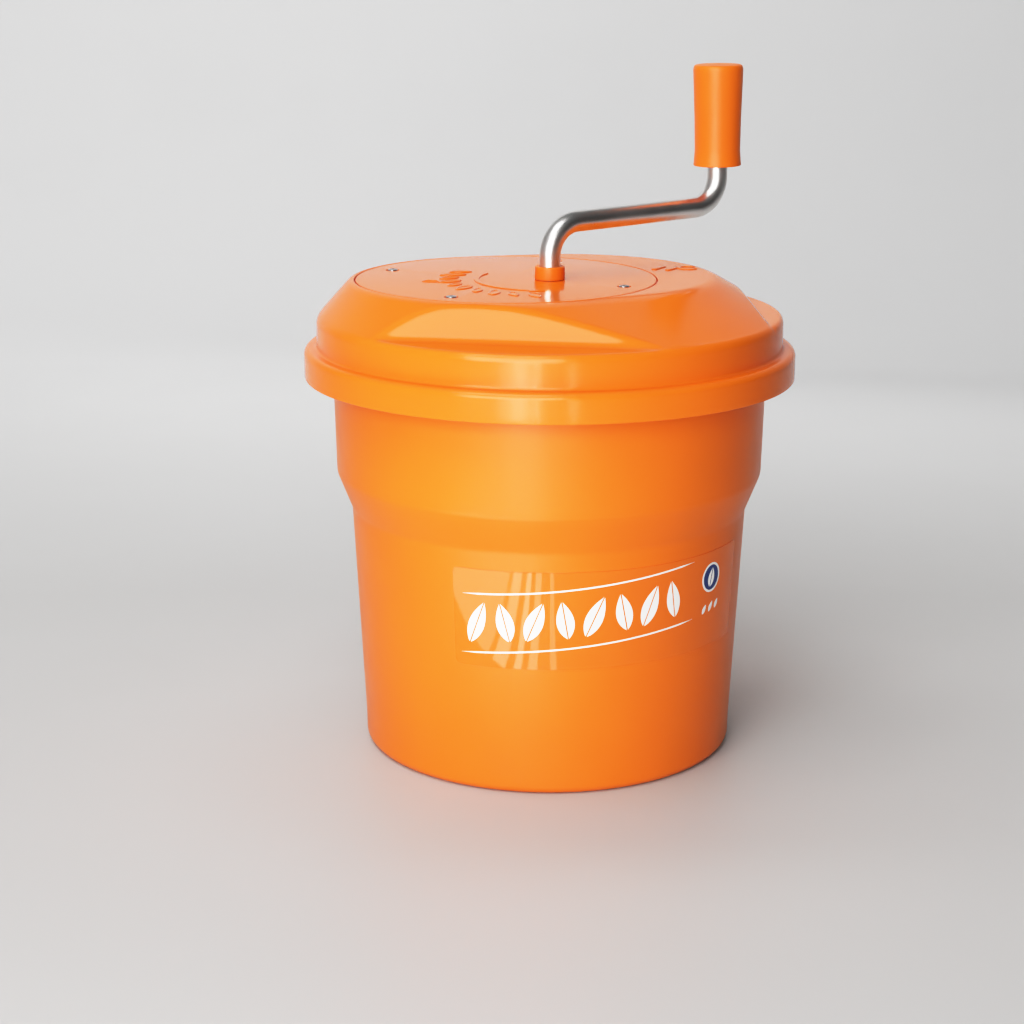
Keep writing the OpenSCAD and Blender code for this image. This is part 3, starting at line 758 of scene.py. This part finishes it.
for i, (la, ln, wd, tl) in enumerate([(-110.0, 38, 14, 20), (-102.0, 34, 15, -14), (-93.6, 36, 15, 22), (-85.2, 33, 15, -10),
                                      (-76.8, 37, 15, 24), (-68.4, 33, 15, -12), (-60.2, 36, 15, 20), (-52.4, 33, 14, -10)]):
    zc = np.interp(la, [-114, -89, -73, -54, -45], [152.0, 156.8, 160.8, 165.8, 169.0])
    prints += leaf(f"leaf{i}", la, float(zc), ln, wd, tl, mat_ink)


def disc_print(name, a_deg, z, r0, r1, mat, off=0.46):
    t = np.linspace(0, TAU, 49)
    rows = []
    for rr in np.linspace(r0, r1, 4):
        rows.append(np.stack([a_deg + np.degrees(rr * np.cos(t) / wall_r(z)), z + rr * np.sin(t)], -1))
    g = np.array(rows)
    top, bot = on_wall(g[..., 0], g[..., 1], off), on_wall(g[..., 0], g[..., 1], off - 0.09)
    m, n = top.shape[:2]
    L = [top[i][:-1] for i in range(m)] + [bot[i][:-1] for i in range(m - 1, -1, -1)]
    V, Fq = loft(L, True)
    return obj(name, V, Fq, mat)


prints.append(disc_print("badge_ring", -36.4, 175.8, 11.2, 13.2, mat_ink))
prints += leaf("badge_leaf", -36.4, 175.8, 17.0, 9.0, 12, mat_ink)
small = []
for k, (da, dz, ln) in enumerate([(-2.6, 3.0, 9), (0.6, 4.6, 10), (3.6, 6.0, 9)]):
    small += leaf(f"tiny{k}", -36.5 + da, 146.5 + dz * 0.6, ln, 4.2, 30, mat_ink, split=False)
prints += small
white_print = join("white_print", prints)
put(white_print, "tub", "clear_film")
badge = disc_print("badge_field", -36.4, 175.8, 0.4, 11.1, mat_blue, 0.42)
put(badge, "tub", "clear_film")

# ------------------------------------------------------------------ carried-over CAD nodes
LOOK = {
    "pivot_pin": mat_screw, "pivot_washer": mat_nylon, "pivot_clip": mat_screw, "pivot_hub": mat_nylon, "hub_bush": mat_bronze,
    "basket": mat_white, "basket_lid": mat_inner, "drive_socket": mat_nylon, "lid_seal": mat_seal, "gear_case": mat_white,
    "case_screws": mat_screw, "cover_screws": mat_screw, "crank_bush": mat_nylon, "spindle_bush": mat_nylon, "idler_shaft": mat_screw,
    "idler_washer": mat_screw, "idler_clip": mat_screw, "drive_spindle": mat_screw, "output_pinion": mat_nylon, "spindle_clip": mat_screw,
    "idler_gear": mat_nylon, "idler_bush": mat_bronze, "crank_washer": mat_screw, "crank_gear": mat_nylon, "crank_pin": mat_screw,
    "grip_clip": mat_screw, "grip_bush": mat_nylon,
}
for name, m in LOOK.items():
    slots = NODE[name].data.materials
    if len(slots) == 0:
        slots.append(m)
    for i in range(len(slots)):
        slots[i] = m

# ------------------------------------------------------------------ stage
bm = bmesh.new()
prof = [(-6.0, 0.0), (1.6, 0.0)]
for i in range(1, 13):
    q = -math.pi / 2 + (math.pi / 2) * i / 12
    prof.append((1.6 + 1.2 * math.cos(q), 1.2 + 1.2 * math.sin(q)))
prof.append((2.8, 5.0))
rows = [[bm.verts.new((x, y, z)) for x in (-7, 7)] for y, z in prof]
for a_, b_ in zip(rows, rows[1:]):
    bm.faces.new((a_[0], a_[1], b_[1], b_[0]))
me = bpy.data.meshes.new("floor")
bm.to_mesh(me)
bm.free()
me.shade_smooth()
floor = bpy.data.objects.new("floor", me)
bpy.context.scene.collection.objects.link(floor)
mf, nt, b = new_mat("floor_paint")
up = nt.nodes.new("ShaderNodeSeparateXYZ")
nt.links.new(coords(nt), up.inputs[0])
pale = math_node(nt, "ADD", span(nt, up.outputs["Y"], 0.0, 1.0, 0.4, 1.7), span(nt, noise(nt, coords(nt), 3.0, 3.0), -0.03, 0.03))
nt.links.new(ramp(nt, pale, [(0.0, (0.50, 0.497, 0.492)), (1.0, (0.78, 0.78, 0.78))]), b.inputs["Base Color"])
b.inputs["Roughness"].default_value = 0.5
me.materials.append(mf)


def area(name, loc, target, size, size_y, power, col=(1, 1, 1)):
    L = bpy.data.lights.new(name, "AREA")
    L.shape = "RECTANGLE"
    L.size, L.size_y = size, size_y
    L.energy = power
    L.color = col
    o = bpy.data.objects.new(name, L)
    bpy.context.scene.collection.objects.link(o)
    o.location = loc
    o.rotation_euler = (Vector(target) - Vector(loc)).to_track_quat("-Z", "Y").to_euler()
    o.visible_camera = False
    return o


area("key", (-0.80, -2.65, 1.10), (0, 0, 0.25), 2.3, 1.9, 74)
area("high", (-0.52, -0.97, 2.3), (0, 0, 0.4), 1.35, 1.3, 20)
back = area("back", (-0.9, 0.7, 3.0), (-1.0, 2.3, 0.0), 3.4, 1.2, 38)
back.visible_glossy = False
# a weak wide fill from behind, so that the back and sides read
fill = area("rear_fill", (0.30, 1.45, 0.70), (0, 0, 0.25), 2.2, 0.7, 3.5)
fill.visible_glossy = False
# tall narrow panels low in front, for the upright highlights on the walls
for name, x, wd, lvl in (("low_a", -0.40, 0.16, 0.55), ("low_b", -0.26, 0.15, 1.15), ("low_c", -0.115, 0.012, 0.50), ("low_d", 0.22, 0.02, 0.30)):
    area(name, (x, -1.25, 0.22), (x * 0.2, 0, 0.30), wd, 0.40, lvl)
# strips lying flat in front, which the glossy film picks up
for name, x, wd, lvl in (("film_a", -0.36, 0.30, 0.75), ("film_b", -0.165, 0.05, 0.20), ("film_c", -0.10, 0.025, 0.12), ("film_d", -0.05, 0.03, 0.10), ("film_e", 0.02, 0.02, 0.05)):
    strip = area(name, (x, -0.57, 0.004), (x, -0.57, 1.0), wd, 0.38, lvl)
    strip.rotation_euler = (math.pi, 0, 0)

# the room: bright on the left and behind, dark on the right
w = bpy.data.worlds.new("studio")
bpy.context.scene.world = w
w.use_nodes = True
wt = w.node_tree
wt.nodes.clear()
wo, bg = wt.nodes.new("ShaderNodeOutputWorld"), wt.nodes.new("ShaderNodeBackground")
wt.links.new(bg.outputs[0], wo.inputs[0])
tc, sx = wt.nodes.new("ShaderNodeTexCoord"), wt.nodes.new("ShaderNodeSeparateXYZ")
wt.links.new(tc.outputs["Generated"], sx.inputs[0])
side_l = span(wt, sx.outputs["X"], 0.26, 0.05, -0.9, 0.5)
above = span(wt, sx.outputs["Z"], 0.0, 0.06, 0.3, 0.9)
wt.links.new(math_node(wt, "ADD", side_l, above), bg.inputs["Strength"])
bg.inputs["Color"].default_value = (1, 1, 1, 1)
vs = bpy.context.scene.view_settings
vs.view_transform = "Standard"
vs.look = "None"
vs.exposure = 0.0
vs.gamma = 1.0
# a camera's response: soft toe and shoulder over a range of twice white
vs.use_curve_mapping = True
cm = vs.curve_mapping
cm.white_level = (2.0, 2.0, 2.0)
crv = cm.curves[3]
while len(crv.points) < 9:
    crv.points.new(0.5, 0.5)
for pt, (a_, b_) in zip(crv.points, ((0.0, 0.0), (0.03, 0.036), (0.05, 0.072), (0.11, 0.20), (0.20, 0.45), (0.30, 0.66), (0.45, 0.87), (0.70, 0.965), (1.0, 1.0))):
    pt.location = (a_, b_)
cm.update()
